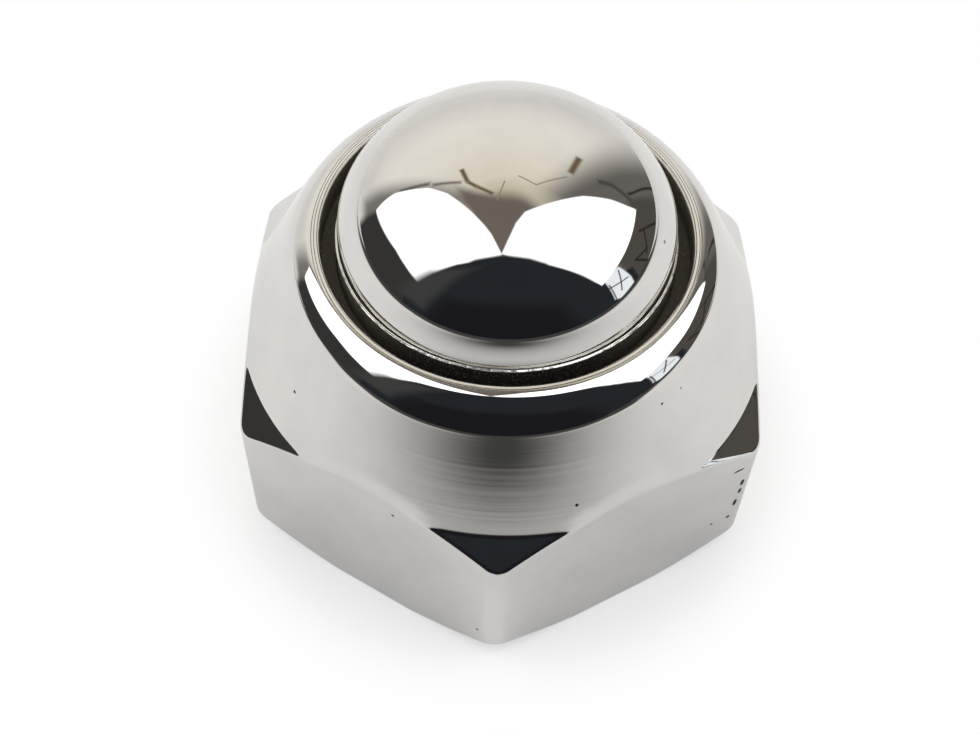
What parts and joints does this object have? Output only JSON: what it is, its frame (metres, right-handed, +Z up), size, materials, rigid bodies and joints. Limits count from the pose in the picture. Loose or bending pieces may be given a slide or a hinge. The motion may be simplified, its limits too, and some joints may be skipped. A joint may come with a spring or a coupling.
{
  "type": "dome-capped hub nut",
  "caption": "Polished hexagon hub nut whose turned cone rises to a rounded lip and a groove round a pressed-in domed cap, as fitted on a classic scooter's rear hub",
  "frame": {"origin": "centre of the bottom seating face, on the thread axis", "axes": "+Z up the thread axis towards the dome, X across two opposite flats, Y through two opposite corners with one corner at -Y"},
  "size_m": [0.034, 0.0388, 0.029],
  "materials": {
    "polished_body": "mirror-polished, with faint turning marks on the cone and a few small pits",
    "polished_cap": "mirror-polished, with light wiping marks"
  },
  "bodies": {
    "root": {"nut_body": "polished_body", "dome_cap": "polished_cap"}
  },
  "joints": []
}
